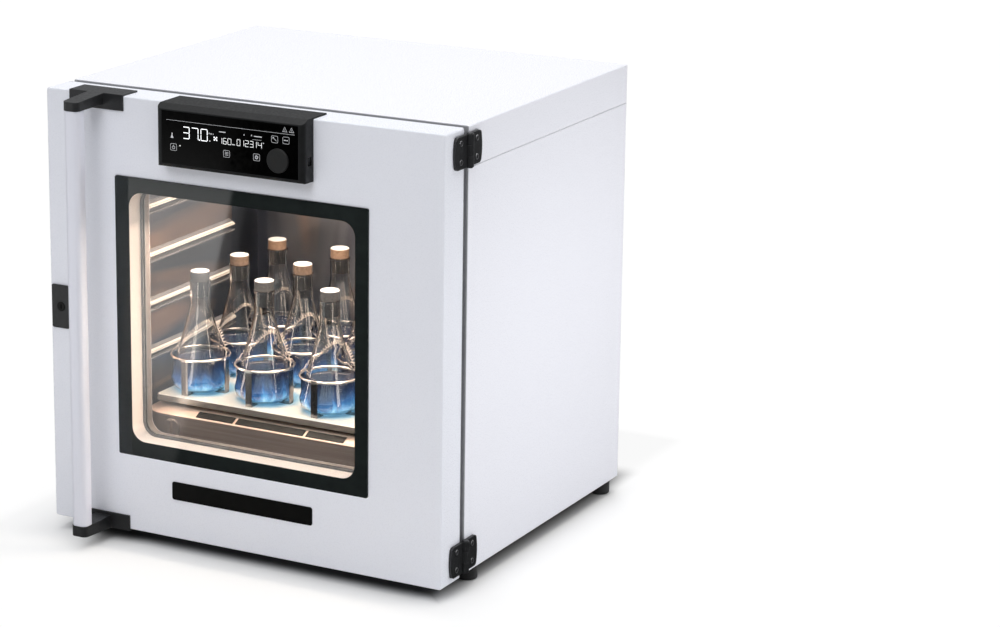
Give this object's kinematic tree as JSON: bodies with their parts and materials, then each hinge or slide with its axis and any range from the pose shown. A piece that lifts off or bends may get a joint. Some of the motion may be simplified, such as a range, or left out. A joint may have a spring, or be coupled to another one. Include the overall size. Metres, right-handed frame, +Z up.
{
  "type": "incubated benchtop shaker",
  "caption": "Box-shaped heated cabinet with a glazed front door, bar handle and control panel; inside, an orbiting tray holds clamped conical flasks on a pull-out shaking unit.",
  "frame": {"origin": "on the bench, under the middle of the cabinet's width, half way from the handle's front to the mains inlet's back", "axes": "+X to the right seen from the front, +Y to the back, +Z up; the door faces -Y"},
  "size_m": [0.7535, 0.743, 0.7646],
  "materials": {
    "white_enamel": "smooth white enamel",
    "door_enamel": "smooth white enamel",
    "zinc_sheet": "dull galvanised sheet",
    "stainless": "brushed stainless",
    "bright_steel": "polished",
    "wool": "matt fibre",
    "heater_black": "oxidised sheath",
    "motor_grey": "cast, matt",
    "lamp_white": "opal diffuser, lit",
    "gasket_rubber": "matt",
    "black_plastic": "fine grain",
    "black_coat": "charcoal powder coat",
    "foot_rubber": "matt",
    "board_green": "circuit board",
    "door_lining": "satin cream",
    "window_glass": "clear",
    "border_enamel": "black enamel on glass",
    "seal_grey": "matt",
    "satin_metal": "satin anodised",
    "plate_black": "black anodised, bare",
    "control_black": "fine grain",
    "control_glass": "black gloss",
    "knob_grey": "satin, dished",
    "housing_grey": "fine texture",
    "label_dark": "bare plate",
    "belt_black": "ribbed",
    "cast_aluminium": "machined",
    "tray_steel": "brushed stainless",
    "clamp_steel": "bright stainless",
    "flask_glass": "clear",
    "blue_liquid": "clear blue water",
    "stopper_foam": "pale porous foam"
  },
  "bodies": {
    "cabinet": {"base_pan": "zinc_sheet", "left_side_panel": "white_enamel", "right_side_panel": "white_enamel", "front_frame": "white_enamel", "top_cover": "white_enamel", "rear_panel": "white_enamel", "chamber_liner": "stainless", "insulation": "wool", "shelf_rails": "stainless", "rear_baffle": "stainless", "fan_motor": "motor_grey", "heater_ring": "heater_black", "chamber_lamp": "lamp_white", "door_gasket": "gasket_rubber", "door_catches": "black_plastic", "hinge_leaves_body": "black_coat", "hinge_pins": "bright_steel", "cabinet_screws": "bright_steel", "side_plugs": "black_plastic", "feet": "foot_rubber", "mains_inlet": "black_plastic", "power_unit": "board_green", "shaker_runners": "stainless"},
    "fan": {"fan_impeller": "cast_aluminium"},
    "door": {"door_shell": "door_enamel", "door_liner": "door_lining", "outer_glass": "window_glass", "glass_border": "border_enamel", "inner_glass": "window_glass", "glazing_seal": "seal_grey", "handle_bar": "satin_metal", "handle_brackets": "black_coat", "hinge_leaves_door": "black_coat", "door_screws": "bright_steel", "lock_plate": "black_coat", "nameplate": "plate_black", "control_housing": "control_black", "control_glass": "control_glass", "control_board": "board_green"},
    "lock": {"lock_barrel": "bright_steel"},
    "encoder": {"knob_shaft": "bright_steel"},
    "knob": {"control_knob": "knob_grey"},
    "shaking_unit": {"shaker_base": "cast_aluminium", "shaker_housing": "housing_grey", "shaker_labels": "label_dark", "drive_motor": "motor_grey", "drive_belt": "belt_black"},
    "latch": {"latch_knob": "motor_grey"},
    "motor_rotor": {"motor_pulley": "cast_aluminium"},
    "crank": {"drive_crank": "cast_aluminium"},
    "left_idler": {"idler_crank_left": "cast_aluminium"},
    "right_idler": {"idler_crank_right": "cast_aluminium"},
    "rear_idler": {"idler_crank_rear": "cast_aluminium"},
    "platform": {"platform_carrier": "cast_aluminium", "tray": "tray_steel", "clamps": "clamp_steel", "clamp_springs": "clamp_steel", "flasks": "flask_glass", "flask_liquid": "blue_liquid", "stoppers": "stopper_foam"}
  },
  "joints": [
    {"name": "door_hinge", "type": "hinge", "parent": "cabinet", "child": "door", "pos_m": [0.376, -0.222, 0.393], "axis": [0, 0, 1], "range_deg": [0, 170]},
    {"name": "unit_slide", "type": "slide", "parent": "cabinet", "child": "shaking_unit", "axis": [0, -1, 0], "range_m": [0, 0.2505]},
    {"name": "fan_spin", "type": "hinge", "parent": "cabinet", "child": "fan", "pos_m": [0, 0.2155, 0.4195], "axis": [0, -1, 0], "continuous": true},
    {"name": "lock_turn", "type": "hinge", "parent": "door", "child": "lock", "pos_m": [-0.3485, -0.2925, 0.393], "axis": [0, -1, 0], "range_deg": [0, 90]},
    {"name": "encoder_push", "type": "slide", "parent": "door", "child": "encoder", "axis": [0, 1, 0], "range_m": [0, 0.0008], "stiffness_N_per_m": 1500, "springref_m": -0.001},
    {"name": "knob_spin", "type": "hinge", "parent": "encoder", "child": "knob", "pos_m": [0.0914, -0.3225, 0.6966], "axis": [0, -1, 0], "continuous": true},
    {"name": "latch_turn", "type": "hinge", "parent": "shaking_unit", "child": "latch", "pos_m": [-0.187, -0.2075, 0.185], "axis": [0, 1, 0], "range_deg": [0, 90]},
    {"name": "crank_spin", "type": "hinge", "parent": "shaking_unit", "child": "crank", "pos_m": [0, -0.002, 0.198], "axis": [0, 0, 1], "continuous": true},
    {"name": "motor_spin", "type": "hinge", "parent": "shaking_unit", "child": "motor_rotor", "pos_m": [-0.105, 0.058, 0.178], "axis": [0, 0, 1], "continuous": true},
    {"name": "platform_orbit", "type": "hinge", "parent": "crank", "child": "platform", "pos_m": [0.00866, -0.007, 0.2335], "axis": [0, 0, 1], "continuous": true},
    {"name": "left_idler_spin", "type": "hinge", "parent": "shaking_unit", "child": "left_idler", "pos_m": [-0.16, -0.107, 0.198], "axis": [0, 0, 1], "continuous": true},
    {"name": "right_idler_spin", "type": "hinge", "parent": "shaking_unit", "child": "right_idler", "pos_m": [0.16, -0.107, 0.198], "axis": [0, 0, 1], "continuous": true},
    {"name": "rear_idler_spin", "type": "hinge", "parent": "shaking_unit", "child": "rear_idler", "pos_m": [0, 0.128, 0.198], "axis": [0, 0, 1], "continuous": true}
  ],
  "couplings": [
    {"joint": "unit_slide", "follows": "door_hinge", "m_per_rad": 0.084259},
    {"joint": "platform_orbit", "follows": "crank_spin", "ratio": -1},
    {"joint": "motor_spin", "follows": "crank_spin", "ratio": 3},
    {"joint": "left_idler_spin", "follows": "crank_spin", "ratio": 1},
    {"joint": "right_idler_spin", "follows": "crank_spin", "ratio": 1},
    {"joint": "rear_idler_spin", "follows": "crank_spin", "ratio": 1}
  ]
}
